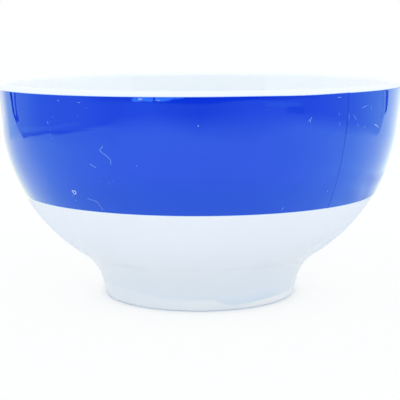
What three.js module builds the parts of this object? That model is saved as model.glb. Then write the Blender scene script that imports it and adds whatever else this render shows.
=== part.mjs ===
// Tea bowl: a white porcelain bowl on a turned foot ring, glazed inside and out,
// with a wide blue transfer band wrapped round the wall below the lip.
// Millimetres, +Z up. The origin is the centre of the foot's resting face.

import * as THREE from "three";

const DEGREE = Math.PI / 180;

// Finished outside of the bowl, glaze included
const RIM_RADIUS = 60;
const HEIGHT = 64;
const RIM_FLARE = 6.5 * DEGREE;
const RIM_STRAIGHT = 12;

// Wall and floor
const LIP_THICKNESS = 3;
const FLOOR_HEIGHT = 11.5;
const FLOOR_FLAT_RADIUS = 12;
const INSIDE_FULLNESS = 0.56;

// Foot: a tapered ring that sweeps into the bowl through a cove
const FOOT_RADIUS = 28.5;
const FOOT_TAPER = 13.7 * DEGREE;
const FOOT_SIDE_HEIGHT = 4.4;
const COVE_RADIUS = 15;
const FOOT_EDGE_RADIUS = 1.2;
const RECESS_RADIUS = 23;
const RECESS_DEPTH = 6;
const RECESS_DRAFT = 10 * DEGREE;
const RECESS_EDGE = 0.8;
const RECESS_FILLET = 1.6;

// Glaze coats: the outer one runs round the foot's edge, short of the bare resting face
const GLAZE = 0.3;
const GLAZE_WRAP = 40 * DEGREE;
const BARE_RECESS = 1.5;

// Blue band: one strip of transfer whose end laps over its start
const BAND_BELOW_CROWN = 1.3;
const BAND_HEIGHT = 31.4;
const BAND_THICKNESS = 0.1;
const BAND_SEAM = 40.5 * DEGREE;
const BAND_LAP = 0.45;
const BAND_LAP_RISE = 0.4;
const BAND_LAP_GAP = 0.05;

// Fineness of the round surfaces
const FACETS = 48;
const COVE_STEPS = 5;
const WALL_STEPS = 9;
const LIP_STEPS = 4;
const INSIDE_STEPS = 10;
const EDGE_STEPS = 4;
const SAME_ANGLE = 1e-4;

// Heights that several pieces share
const JOINT_HEIGHT = RECESS_DEPTH + GLAZE;
const BAND_TOP = HEIGHT - BAND_BELOW_CROWN;
const BAND_BOTTOM = BAND_TOP - BAND_HEIGHT;

// Outlines are drawn in the half plane of one meridian: x is the radius, y the height.
const point = (radius, height) => new THREE.Vector2(radius, height);
const direction = (angle) => point(Math.cos(angle), Math.sin(angle));
const away = (start, heading, distance) => start.clone().addScaledVector(heading, distance);

function arc(centre, radius, from, to, steps) {
  const curve = new THREE.EllipseCurve(centre.x, centre.y, radius, radius, from, to, to < from);
  return curve.getPoints(steps);
}

// Lip: a full round between two parallel faces that lean out by the flare.
const LIP_RADIUS = LIP_THICKNESS / 2;
const lipCentre = point(RIM_RADIUS - LIP_RADIUS, HEIGHT - LIP_RADIUS);
const rimOutward = direction(-RIM_FLARE);
const rimDownward = direction(-RIM_FLARE - Math.PI / 2);
const outerRimEnd = away(away(lipCentre, rimOutward, LIP_RADIUS), rimDownward, RIM_STRAIGHT);
const innerRimEnd = away(outerRimEnd, rimOutward, -LIP_THICKNESS);

// Cove: a round that leaves the foot's side square to its face.
const footOutward = direction(-FOOT_TAPER);
const footSideTop = point(FOOT_RADIUS + FOOT_SIDE_HEIGHT * Math.tan(FOOT_TAPER), FOOT_SIDE_HEIGHT);
const coveCentre = away(footSideTop, footOutward, COVE_RADIUS);

// Wall: the one arc that continues the straight rim and touches the cove.
const coveToRim = outerRimEnd.clone().sub(coveCentre);
const WALL_RADIUS = (coveToRim.lengthSq() - COVE_RADIUS ** 2)
  / (2 * (COVE_RADIUS + coveToRim.dot(rimOutward)));
const wallCentre = away(outerRimEnd, rimOutward, -WALL_RADIUS);
const coveToWall = wallCentre.clone().sub(coveCentre).angle();

// Radius of the foot's side at a height, at a depth below the finished face.
function footSideRadius(height, depth) {
  return FOOT_RADIUS + height * Math.tan(FOOT_TAPER) - depth / Math.cos(FOOT_TAPER);
}

// Radius of the recess's side at a height, at a depth behind the finished face.
function recessRadius(height, depth) {
  return RECESS_RADIUS - height * Math.tan(RECESS_DRAFT) + depth / Math.cos(RECESS_DRAFT);
}

// Edge of the foot: a round between its side and its resting face.
const footEdgeCentre = point(footSideRadius(FOOT_EDGE_RADIUS, GLAZE + FOOT_EDGE_RADIUS), FOOT_EDGE_RADIUS);
function footEdge(depth, from, to) {
  return arc(footEdgeCentre, FOOT_EDGE_RADIUS + GLAZE - depth, from, to, EDGE_STEPS);
}

// Outside from the foot's edge up to the crown of the lip, at a depth below the finished face.
function outside(depth) {
  const foot = footEdge(depth, -GLAZE_WRAP, -FOOT_TAPER);
  const cove = arc(coveCentre, COVE_RADIUS + depth, Math.PI - FOOT_TAPER, coveToWall, COVE_STEPS);
  const wall = arc(wallCentre, WALL_RADIUS - depth, coveToWall - Math.PI, -RIM_FLARE, WALL_STEPS);
  const lip = arc(lipCentre, LIP_RADIUS - depth, -RIM_FLARE, Math.PI / 2, LIP_STEPS);
  return [...foot, ...cove, ...wall.slice(1), ...lip];
}

// Inside from the crown of the lip down to the middle of the floor.
function inside(depth) {
  const lip = arc(lipCentre, LIP_RADIUS - depth, Math.PI / 2, Math.PI - RIM_FLARE, LIP_STEPS);
  const floorEdge = point(FLOOR_FLAT_RADIUS, FLOOR_HEIGHT);
  const drop = (innerRimEnd.y - FLOOR_HEIGHT) / Math.cos(RIM_FLARE);
  const corner = away(innerRimEnd, rimDownward, drop);
  const rimHandle = innerRimEnd.clone().lerp(corner, INSIDE_FULLNESS);
  const floorHandle = floorEdge.clone().lerp(corner, INSIDE_FULLNESS);
  const wall = new THREE.CubicBezierCurve(innerRimEnd, rimHandle, floorHandle, floorEdge);
  const sunk = [];
  for (let step = 0; step <= INSIDE_STEPS; step += 1) {
    const heading = wall.getTangent(step / INSIDE_STEPS);
    const intoWall = point(-heading.y, heading.x);
    sunk.push(away(wall.getPoint(step / INSIDE_STEPS), intoWall, depth));
  }
  return [...lip, ...sunk, point(0, FLOOR_HEIGHT - depth)];
}

// A rising outline with one more corner, at a height that it passes.
function cornered(outline, height) {
  const next = outline.findIndex((corner) => corner.y > height);
  const below = outline[next - 1];
  const above = outline[next];
  const radius = THREE.MathUtils.mapLinear(height, below.y, above.y, below.x, above.x);
  return outline.toSpliced(next, 0, point(radius, height));
}

// The corners of an outline from one height up to another.
function between(outline, bottom, top) {
  return outline.filter((corner) => corner.y >= bottom && corner.y <= top);
}

// Turns an outline about the bowl's axis; it closes on itself or runs from axis to axis.
function turned(outline) {
  const closed = outline[0].x > 0 ? [...outline, outline[0]] : outline;
  return new THREE.LatheGeometry(closed, FACETS).rotateX(Math.PI / 2);
}

// Faces of the clay under the glaze, and of the glaze under the band
const clayOutside = cornered(outside(GLAZE), JOINT_HEIGHT);
const clayInside = inside(GLAZE);
const clayFoot = between(clayOutside, 0, JOINT_HEIGHT);
const clayWall = between(clayOutside, JOINT_HEIGHT, HEIGHT);
const glazeOutside = cornered(cornered(outside(0), BAND_BOTTOM), BAND_TOP);

// Bowl: wall and floor in one, flat underneath where the foot ring is luted on.
const bowlOutline = [
  point(0, JOINT_HEIGHT),
  ...clayWall,
  ...clayInside.slice(1),
];

// Foot ring: its bottom is a bare flat face between two softened edges.
const footOutline = [
  point(recessRadius(0, GLAZE) + RECESS_EDGE, 0),
  ...footEdge(GLAZE, -Math.PI / 2, -GLAZE_WRAP).slice(0, -1),
  ...clayFoot,
  point(recessRadius(JOINT_HEIGHT, GLAZE), JOINT_HEIGHT),
  point(recessRadius(BARE_RECESS, GLAZE), BARE_RECESS),
  point(recessRadius(RECESS_EDGE, GLAZE), RECESS_EDGE),
];

// Glaze coats meet along the crown of the lip.
const outerGlazeOutline = [...glazeOutside, ...clayOutside.toReversed()];
const innerGlazeOutline = [...clayInside.toReversed(), ...inside(0)];

// Glaze in the recess of the foot, pooled to a fillet in its corner.
const filletCentre = point(
  recessRadius(RECESS_DEPTH - RECESS_FILLET, -RECESS_FILLET),
  RECESS_DEPTH - RECESS_FILLET,
);
const baseGlazeOutline = [
  point(0, RECESS_DEPTH),
  ...arc(filletCentre, RECESS_FILLET, Math.PI / 2, RECESS_DRAFT, EDGE_STEPS),
  point(recessRadius(BARE_RECESS, 0), BARE_RECESS),
  point(recessRadius(BARE_RECESS, GLAZE), BARE_RECESS),
  point(recessRadius(JOINT_HEIGHT, GLAZE), JOINT_HEIGHT),
  point(0, JOINT_HEIGHT),
];

// The band's run round the wall, as angles from the front towards the right
const BAND_RISE_START = BAND_SEAM + 2 * Math.PI - BAND_LAP_RISE / RIM_RADIUS;
const BAND_LAP_START = BAND_SEAM + 2 * Math.PI;
const BAND_END = BAND_LAP_START + BAND_LAP / RIM_RADIUS;
const FACET_ANGLE = 2 * Math.PI / FACETS;

// Angles at which the band is drawn: every corner of the faceted wall, and the ends of the lap.
function bandAngles() {
  const angles = [BAND_SEAM, BAND_RISE_START, BAND_LAP_START, BAND_END];
  for (let turn = Math.ceil(BAND_SEAM / FACET_ANGLE); turn * FACET_ANGLE < BAND_END; turn += 1) {
    angles.push(turn * FACET_ANGLE);
  }
  angles.sort((first, second) => first - second);
  return angles.filter((angle, index) => index === 0 || angle - angles[index - 1] > SAME_ANGLE);
}

// Corners of the band's section at an angle: it lies on the flat of each facet and rises onto the lap.
function bandCorners(section, angle) {
  const fromFacetMiddle = angle % FACET_ANGLE - FACET_ANGLE / 2;
  const onFacet = Math.cos(FACET_ANGLE / 2) / Math.cos(fromFacetMiddle);
  const rise = THREE.MathUtils.inverseLerp(BAND_RISE_START, BAND_LAP_START, angle);
  const lift = (BAND_THICKNESS + BAND_LAP_GAP) * THREE.MathUtils.clamp(rise, 0, 1);
  return section.flatMap((corner) => {
    const radius = corner.x * onFacet + lift;
    return [radius * Math.sin(angle), -radius * Math.cos(angle), corner.y];
  });
}

// The band: one closed section after another round the wall, and a cap at each end.
function wrappedBand() {
  const raised = cornered(cornered(outside(-BAND_THICKNESS), BAND_BOTTOM), BAND_TOP);
  const back = between(glazeOutside, BAND_BOTTOM, BAND_TOP);
  const face = between(raised, BAND_BOTTOM, BAND_TOP);
  const section = [...back, ...face.toReversed()];
  const size = section.length;
  const angles = bandAngles();
  const positions = angles.flatMap((angle) => bandCorners(section, angle));

  const faces = [];
  for (let here = 0; here < (angles.length - 1) * size; here += size) {
    const ahead = here + size;
    for (let corner = 0; corner < size; corner += 1) {
      const next = (corner + 1) % size;
      faces.push(here + corner, here + next, ahead + corner);
      faces.push(here + next, ahead + next, ahead + corner);
    }
  }
  const end = (angles.length - 1) * size;
  for (const [first, second, third] of THREE.ShapeUtils.triangulateShape(section, [])) {
    faces.push(first, second, third);
    faces.push(end + first, end + third, end + second);
  }

  const geometry = new THREE.BufferGeometry();
  geometry.setAttribute("position", new THREE.Float32BufferAttribute(positions, 3));
  geometry.setIndex(faces);
  geometry.computeVertexNormals();
  return geometry;
}

const clay = new THREE.MeshStandardMaterial({ color: 0xe9e7e2, roughness: 0.85, metalness: 0 });
const whiteGlaze = new THREE.MeshStandardMaterial({ color: 0xe8eff6, roughness: 0.08, metalness: 0 });
const blueTransfer = new THREE.MeshStandardMaterial({ color: 0x1846e0, roughness: 0.1, metalness: 0 });

const bowl = new THREE.Group();
bowl.name = "tea_bowl";

function addPiece(name, geometry, material) {
  const piece = new THREE.Mesh(geometry, material);
  piece.name = name;
  bowl.add(piece);
}

addPiece("bowl_body", turned(bowlOutline), clay);
addPiece("foot_ring", turned(footOutline), clay);
addPiece("outer_glaze", turned(outerGlazeOutline), whiteGlaze);
addPiece("inner_glaze", turned(innerGlazeOutline), whiteGlaze);
addPiece("base_glaze", turned(baseGlazeOutline), whiteGlaze);
addPiece("blue_band", wrappedBand(), blueTransfer);

export default bowl;
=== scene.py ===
"""Dress the tea bowl: fine turned meshes, procedural finishes, a white studio and a camera.

One outline of the bowl, drawn in a meridian, drives every coat: the clay, the glaze on
the clay, and the blue transfer on the glaze. Lengths are in metres, +Z is up, and -Y is
the side that the camera sees. Azimuths run from that side towards the right, +X.
"""

import itertools
import logging
import math
from collections.abc import Callable
from dataclasses import dataclass
from enum import Enum
from typing import Any

import bpy
from mathutils import Matrix, Vector


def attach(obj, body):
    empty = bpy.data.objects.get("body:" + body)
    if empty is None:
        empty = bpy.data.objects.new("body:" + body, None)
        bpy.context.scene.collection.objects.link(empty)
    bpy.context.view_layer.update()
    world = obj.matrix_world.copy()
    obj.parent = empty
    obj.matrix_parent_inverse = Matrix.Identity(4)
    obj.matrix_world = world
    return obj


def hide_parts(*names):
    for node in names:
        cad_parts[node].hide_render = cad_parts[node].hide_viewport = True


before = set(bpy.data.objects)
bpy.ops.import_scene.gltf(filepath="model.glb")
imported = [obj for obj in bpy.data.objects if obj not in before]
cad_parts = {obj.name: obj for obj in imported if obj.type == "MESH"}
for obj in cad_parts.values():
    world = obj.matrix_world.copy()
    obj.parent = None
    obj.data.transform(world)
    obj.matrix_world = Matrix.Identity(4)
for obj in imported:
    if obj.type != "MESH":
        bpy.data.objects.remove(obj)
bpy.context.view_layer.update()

LOG = logging.getLogger("tea_bowl")

MM = 0.001
BODY = "root"
ORIGIN = Vector((0.0, 0.0, 0.0))
UP = Vector((0.0, 0.0, 1.0))
QUARTER_TURN = math.pi / 2
FULL_TURN = 2 * math.pi
WHITE = (1.0, 1.0, 1.0, 1.0)

Outline = list[Vector]
Colour = tuple[float, float, float, float]
Pair = tuple[float, float]
Edge = tuple[Pair, ...]
Socket = bpy.types.NodeSocket
Sockets = dict[str | int, Any]


class Slot(Enum):
    """Material slots that the record names."""

    CLAY = "clay"
    WHITE_GLAZE = "white_glaze"
    BLUE_TRANSFER = "blue_transfer"


def paint(code: int) -> Colour:
    """Turn a six-digit screen colour into the linear colour that a shader takes.

    Args:
        code: Screen colour, two hexadecimal digits each for red, green and blue.

    Returns:
        Red, green, blue and a full alpha, in linear light.
    """

    def channel(shift: int) -> float:
        """Give one channel in linear light."""
        value = (code >> shift & 0xFF) / 255
        return value / 12.92 if value <= 0.04045 else ((value + 0.055) / 1.055) ** 2.4

    return (channel(16), channel(8), channel(0), 1.0)


def heading(angle: float) -> Vector:
    """Give the unit vector at an angle in a meridian, (radius, height)."""
    return Vector((math.cos(angle), math.sin(angle)))


def arc(centre: Vector, radius: float, start: float, stop: float, step: float) -> Outline:
    """Draw an arc as corners from one angle to another.

    Args:
        centre: Centre of the arc, (radius, height).
        radius: Radius of the arc.
        start: First angle.
        stop: Last angle; below start, the arc runs clockwise.
        step: Longest distance between corners.

    Returns:
        The corners, both ends included.
    """
    count = max(4, math.ceil(abs(stop - start) * radius / step))
    return [centre + heading(start + (stop - start) * i / count) * radius for i in range(count + 1)]


def at_height(outline: Outline, height: float) -> Vector:
    """Give the place where a rising outline passes a height.

    Args:
        outline: Corners from low to high.
        height: The height.

    Returns:
        The place, or the last corner where the outline ends below the height.
    """
    for low, high in itertools.pairwise(outline):
        if low.y <= height <= high.y:
            return low.lerp(high, (height - low.y) / (high.y - low.y))
    return outline[-1].copy()


def draw_line(name: str, corners: list[Vector]) -> bpy.types.Object:
    """Draw a line corner by corner, by extruding one point.

    Args:
        name: Name of the new object.
        corners: Corners in order.

    Returns:
        The new object, in edit mode, with the whole line selected.
    """
    bpy.ops.object.select_all(action="DESELECT")
    bpy.ops.mesh.primitive_plane_add(size=MM)
    piece = bpy.context.object
    piece.name = name
    piece.data.name = name
    bpy.ops.object.mode_set(mode="EDIT")
    bpy.ops.mesh.select_all(action="SELECT")
    bpy.ops.mesh.merge(type="CENTER")
    bpy.ops.transform.translate(value=corners[0])
    for here, there in itertools.pairwise(corners):
        bpy.ops.mesh.extrude_region_move(TRANSFORM_OT_translate={"value": there - here})
    bpy.ops.mesh.select_all(action="SELECT")
    return piece


@dataclass(frozen=True)
class BowlShape:
    """Driving sizes of the bowl, and the faces that follow from them in one meridian."""

    rim_radius: float = 60.0 * MM
    height: float = 64.0 * MM
    rim_flare: float = math.radians(6.5)
    rim_straight: float = 12.0 * MM
    lip_thickness: float = 3.0 * MM
    floor_height: float = 11.5 * MM
    floor_flat_radius: float = 12.0 * MM
    inside_fullness: float = 0.56
    foot_radius: float = 28.5 * MM
    foot_taper: float = math.radians(13.7)
    foot_side_height: float = 4.4 * MM
    cove_radius: float = 15.0 * MM
    foot_edge_radius: float = 1.2 * MM
    recess_radius: float = 23.0 * MM
    recess_depth: float = 6.0 * MM
    recess_draft: float = math.radians(10.0)
    recess_edge: float = 0.8 * MM
    recess_fillet: float = 1.6 * MM
    glaze: float = 0.3 * MM
    glaze_wrap: float = math.radians(40.0)
    bare_recess: float = 1.5 * MM
    wall_step: float = 0.9 * MM
    edge_step: float = 0.12 * MM

    @property
    def joint_height(self) -> float:
        """Height of the flat joint between the bowl and its foot ring."""
        return self.recess_depth + self.glaze

    @property
    def foot_edge_centre(self) -> Vector:
        """Centre of the round at the foot's outer edge."""
        return self.foot_side(self.foot_edge_radius, self.glaze + self.foot_edge_radius)

    @property
    def lip_centre(self) -> Vector:
        """Centre of the lip's round."""
        half = self.lip_thickness / 2
        return Vector((self.rim_radius - half, self.height - half))

    @property
    def outer_rim_end(self) -> Vector:
        """Lower end of the straight rim on the outside."""
        face = self.lip_centre + heading(-self.rim_flare) * self.lip_thickness / 2
        return face + heading(-self.rim_flare - QUARTER_TURN) * self.rim_straight

    @property
    def cove_centre(self) -> Vector:
        """Centre of the cove between the foot and the wall."""
        rise = self.foot_side_height
        side_top = Vector((self.foot_radius + rise * math.tan(self.foot_taper), rise))
        return side_top + heading(-self.foot_taper) * self.cove_radius

    @property
    def wall_radius(self) -> float:
        """Radius of the one arc that continues the rim and touches the cove."""
        reach = self.outer_rim_end - self.cove_centre
        lean = self.cove_radius + reach.dot(heading(-self.rim_flare))
        return (reach.length_squared - self.cove_radius**2) / (2 * lean)

    @property
    def wall_centre(self) -> Vector:
        """Centre of the wall's arc."""
        return self.outer_rim_end - heading(-self.rim_flare) * self.wall_radius

    @property
    def cove_to_wall(self) -> float:
        """Angle at which the cove hands over to the wall."""
        way = self.wall_centre - self.cove_centre
        return math.atan2(way.y, way.x)

    def foot_side(self, height: float, depth: float) -> Vector:
        """Give a point of the foot's side at a height and a depth below its face."""
        radius = self.foot_radius + height * math.tan(self.foot_taper)
        return Vector((radius - depth / math.cos(self.foot_taper), height))

    def recess_side(self, height: float, depth: float) -> Vector:
        """Give a point of the recess's side at a height and a depth behind its face."""
        radius = self.recess_radius - height * math.tan(self.recess_draft)
        return Vector((radius + depth / math.cos(self.recess_draft), height))

    def foot_edge(self, depth: float, start: float, stop: float) -> Outline:
        """Draw part of the round at the foot's outer edge, at a depth below its face."""
        radius = self.foot_edge_radius + self.glaze - depth
        return arc(self.foot_edge_centre, radius, start, stop, self.edge_step)

    def outside(self, depth: float) -> Outline:
        """Draw the outside from the end of the glaze, under the foot's edge, to the lip's crown.

        Args:
            depth: Depth below the finished face; below zero, it stands proud.

        Returns:
            Corners from the foot to the crown.
        """
        turn, step, flare = self.cove_to_wall, self.wall_step, self.rim_flare
        foot = self.foot_edge(depth, -self.glaze_wrap, -self.foot_taper)
        cove_radius = self.cove_radius + depth
        cove = arc(self.cove_centre, cove_radius, math.pi - self.foot_taper, turn, step)
        wall = arc(self.wall_centre, self.wall_radius - depth, turn - math.pi, -flare, step)
        lip_radius = self.lip_thickness / 2 - depth
        lip = arc(self.lip_centre, lip_radius, -flare, QUARTER_TURN, self.edge_step)
        count = math.ceil(self.rim_straight / step)
        rim = [wall[-1].lerp(lip[0], i / count) for i in range(1, count)]
        return [*foot, *cove, *wall[1:], *rim, *lip]

    def inside(self, depth: float) -> Outline:
        """Draw the inside from the crown of the lip to the middle of the floor.

        Args:
            depth: Depth below the finished face.

        Returns:
            Corners from the crown to the axis.
        """
        lip_radius = self.lip_thickness / 2 - depth
        lip_end = math.pi - self.rim_flare
        lip = arc(self.lip_centre, lip_radius, QUARTER_TURN, lip_end, self.edge_step)
        rim_end = self.outer_rim_end - heading(-self.rim_flare) * self.lip_thickness
        drop = (rim_end.y - self.floor_height) / math.cos(self.rim_flare)
        corner = rim_end + heading(-self.rim_flare - QUARTER_TURN) * drop
        floor_edge = Vector((self.floor_flat_radius, self.floor_height))
        rim_handle = rim_end.lerp(corner, self.inside_fullness)
        floor_handle = floor_edge.lerp(corner, self.inside_fullness)
        count = math.ceil((rim_end - floor_edge).length / self.wall_step)
        wall = []
        for i in range(count + 1):
            t = i / count
            s = 1 - t
            place = rim_end * s**3 + rim_handle * 3 * s * s * t
            place = place + floor_handle * 3 * s * t * t + floor_edge * t**3
            way = (rim_handle - rim_end) * s * s + (floor_handle - rim_handle) * 2 * s * t
            way += (floor_edge - floor_handle) * t * t
            way.normalize()
            wall.append(place + Vector((-way.y, way.x)) * depth)
        return [*lip, *wall, Vector((0.0, self.floor_height - depth))]

    def outside_radius(self, height: float) -> float:
        """Give the finished radius of the wall, rim or lip.

        Args:
            height: Height, above the cove.

        Returns:
            The radius.
        """
        lip_from_centre = height - self.lip_centre.y
        lip_radius = self.lip_thickness / 2
        if lip_from_centre > -lip_radius * math.sin(self.rim_flare):
            return self.lip_centre.x + math.sqrt(max(lip_radius**2 - lip_from_centre**2, 0.0))
        above_end = height - self.outer_rim_end.y
        if above_end > 0:
            return self.outer_rim_end.x + above_end * math.tan(self.rim_flare)
        below_centre = self.wall_centre.y - height
        return self.wall_centre.x + math.sqrt(self.wall_radius**2 - below_centre**2)


@dataclass(frozen=True)
class Wheel:
    """A potter's wheel: draws an outline corner by corner and turns it about the axis."""

    steps: int = 192
    weld: float = 0.001 * MM
    smooth_angle: float = math.radians(30.0)

    def draw(self, name: str, outline: Outline, azimuth: float = 0.0) -> bpy.types.Object:
        """Draw an outline in one meridian plane.

        Args:
            name: Name of the new object.
            outline: Corners, (radius, height).
            azimuth: Azimuth of the meridian.

        Returns:
            The new object, in edit mode, with the whole outline selected.
        """
        outward = Vector((math.sin(azimuth), -math.cos(azimuth), 0.0))
        return draw_line(name, [outward * corner.x + UP * corner.y for corner in outline])

    def spin(self, angle: float, steps: int) -> None:
        """Spin the selected outline towards rising azimuths; its last copy stays selected."""
        bpy.ops.mesh.spin(steps=steps, angle=-angle, center=ORIGIN, axis=UP)

    def close(self, piece: bpy.types.Object) -> bpy.types.Object:
        """Weld the mesh in edit mode, turn its faces outwards and smooth it.

        Args:
            piece: The object in edit mode.

        Returns:
            The same object, in object mode.
        """
        bpy.ops.mesh.select_all(action="SELECT")
        bpy.ops.mesh.remove_doubles(threshold=self.weld)
        bpy.ops.mesh.normals_make_consistent(inside=False)
        bpy.ops.object.mode_set(mode="OBJECT")
        bpy.ops.object.shade_smooth_by_angle(angle=self.smooth_angle)
        return piece

    def turn(self, name: str, outline: Outline) -> bpy.types.Object:
        """Turn an outline once round the axis into a closed mesh.

        Args:
            name: Name of the new object.
            outline: Corners that run from axis to axis, or round to the first one.

        Returns:
            The finished object.
        """
        piece = self.draw(name, outline)
        self.spin(FULL_TURN, self.steps)
        return self.close(piece)


class Bench:
    """Lays out the nodes of one material or world."""

    noise_middle: Pair = (0.3, 0.7)

    def __init__(self, tree: bpy.types.NodeTree) -> None:
        """Clear the tree."""
        self.tree = tree
        self.tree.nodes.clear()

    def add(self, kind: str, sockets: Sockets | None = None, **settings: Any) -> bpy.types.Node:
        """Add a node.

        Args:
            kind: Blender's name of the node type.
            sockets: Value, or output to join, for each input.
            settings: Properties of the node itself.

        Returns:
            The new node.
        """
        node = self.tree.nodes.new(kind)
        for key, value in settings.items():
            setattr(node, key, value)
        for key, value in (sockets or {}).items():
            if isinstance(value, Socket):
                self.tree.links.new(value, node.inputs[key])
            else:
                node.inputs[key].default_value = value
        return node

    def place(self) -> Socket:
        """Give a point's place on its piece."""
        return self.add("ShaderNodeTexCoord").outputs["Object"]

    def axis(self, place: Socket, name: str) -> Socket:
        """Give a place's distance along a named axis."""
        return self.add("ShaderNodeSeparateXYZ", {"Vector": place}).outputs[name]

    def maths(self, operation: str, first: Any, second: Any = 0.0, third: Any = 0.0) -> Socket:
        """Join up to three numbers by a maths operation and give the result."""
        sockets: Sockets = {0: first, 1: second, 2: third}
        return self.add("ShaderNodeMath", sockets, operation=operation).outputs[0]

    def times(self, first: Any, second: Any) -> Socket:
        """Multiply two numbers."""
        return self.maths("MULTIPLY", first, second)

    def minus(self, first: Any, second: Any) -> Socket:
        """Take the second number from the first."""
        return self.maths("SUBTRACT", first, second)

    def noise(self, where: Socket, size: float, detail: float = 2.0) -> Socket:
        """Give a cloudy pattern of a grain size in metres."""
        sockets: Sockets = {"Vector": where, "Scale": 1 / size, "Detail": detail}
        return self.add("ShaderNodeTexNoise", sockets).outputs["Fac"]

    def cloud(self, where: Socket, size: float, detail: float, share: float) -> Socket:
        """Give a cloudy pattern whose middle is stretched from zero to a share."""
        return self.remap(self.noise(where, size, detail), *self.noise_middle, 0.0, share)

    def remap(
        self, value: Any, low: Any, high: Any, to_low: Any = 0.0, to_high: Any = 1.0
    ) -> Socket:
        """Map a number from one range to another, smoothly and clamped.

        Args:
            value: The number.
            low: First limit of its range.
            high: Last limit of its range.
            to_low: Result at the first limit.
            to_high: Result at the last limit.

        Returns:
            The mapped number.
        """
        sockets: Sockets = {"Value": value, "From Min": low, "From Max": high}
        sockets |= {"To Min": to_low, "To Max": to_high}
        node = self.add("ShaderNodeMapRange", sockets, interpolation_type="SMOOTHSTEP")
        return node.outputs["Result"]

    def blend(self, share: Any, first: Any, second: Any, way: str = "MIX") -> Socket:
        """Blend two colours by a share, in one of Blender's ways."""
        sockets: Sockets = {"Factor": share, 6: first, 7: second}
        return self.add("ShaderNodeMix", sockets, data_type="RGBA", blend_type=way).outputs[2]

    def follow(self, value: Any, places: Edge) -> Socket:
        """Follow a line straight from each place to the next.

        Args:
            value: The number to look up.
            places: Number and result at each place, in rising order.

        Returns:
            The result at the number; past an end, the result at that end.
        """
        first, last = places[0][0], places[-1][0]
        top = max(result for _, result in places)
        sockets: Sockets = {"Value": value, "From Min": first, "From Max": last}
        share = self.add("ShaderNodeMapRange", sockets).outputs["Result"]
        node = self.add("ShaderNodeFloatCurve", {"Value": share})
        line = node.mapping.curves[0].points
        spots = [((place - first) / (last - first), result / top) for place, result in places]
        line[0].location, line[1].location = spots[0], spots[-1]
        for spot in spots[1:-1]:
            line.new(*spot)
        for point in line:
            point.handle_type = "VECTOR"
        node.mapping.update()
        return self.times(node.outputs["Value"], top)

    def bump(self, height: Any, distance: float, below: Any = None) -> Socket:
        """Give a bumped normal.

        Args:
            height: Pattern of the bumps.
            distance: Height of the bumps in metres.
            below: Normal that the bumps lie on, if there is one.

        Returns:
            The bumped normal.
        """
        sockets: Sockets = {"Height": height, "Distance": distance, "Strength": 1.0}
        if below is not None:
            sockets["Normal"] = below
        return self.add("ShaderNodeBump", sockets).outputs["Normal"]

    def lacquer(self, sockets: Sockets) -> None:
        """End a material in one shader with these sockets."""
        shader = self.add("ShaderNodeBsdfPrincipled", sockets)
        self.add("ShaderNodeOutputMaterial", {"Surface": shader.outputs[0]})

    def glow_over(self, below: bpy.types.Node, light: Any, share: Any) -> None:
        """End a material in a light that covers a share of the shader below it.

        Args:
            below: The shader below.
            light: Colour of the light.
            share: Share of the light.
        """
        glow = self.add("ShaderNodeEmission", {"Color": light, "Strength": 1.0})
        mix = self.add("ShaderNodeMixShader", {0: share, 1: below.outputs[0], 2: glow.outputs[0]})
        self.add("ShaderNodeOutputMaterial", {"Surface": mix.outputs[0]})


def new_material(name: str) -> tuple[bpy.types.Material, Bench]:
    """Make an empty node material.

    Args:
        name: Name of the material.

    Returns:
        The material, and the bench for its nodes.
    """
    material = bpy.data.materials.new(name)
    material.use_nodes = True
    return material, Bench(material.node_tree)


class Ground:
    """Where a point lies as seen from above, as nodes. Lengths are in millimetres.

    Attributes:
        bench: Bench of the material.
        x: Distance to the right of the bowl's axis.
        y: Distance behind the axis.
        far: Distance from the axis.
        azimuth: Azimuth in degrees.
        ahead: Cosine of the azimuth.
    """

    def __init__(self, bench: Bench) -> None:
        """Lay out the nodes.

        Args:
            bench: Bench of the material.
        """
        self.bench = bench
        sockets: Sockets = {0: bench.place(), "Scale": 1 / MM}
        place = bench.add("ShaderNodeVectorMath", sockets, operation="SCALE").outputs["Vector"]
        self.x, self.y = bench.axis(place, "X"), bench.axis(place, "Y")
        length = bench.add("ShaderNodeVectorMath", {0: place}, operation="LENGTH")
        self.far = length.outputs["Value"]
        front = bench.times(self.y, -1.0)
        self.azimuth = bench.times(bench.maths("ARCTAN2", self.x, front), math.degrees(1.0))
        self.ahead = bench.maths("DIVIDE", front, self.far)


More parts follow.
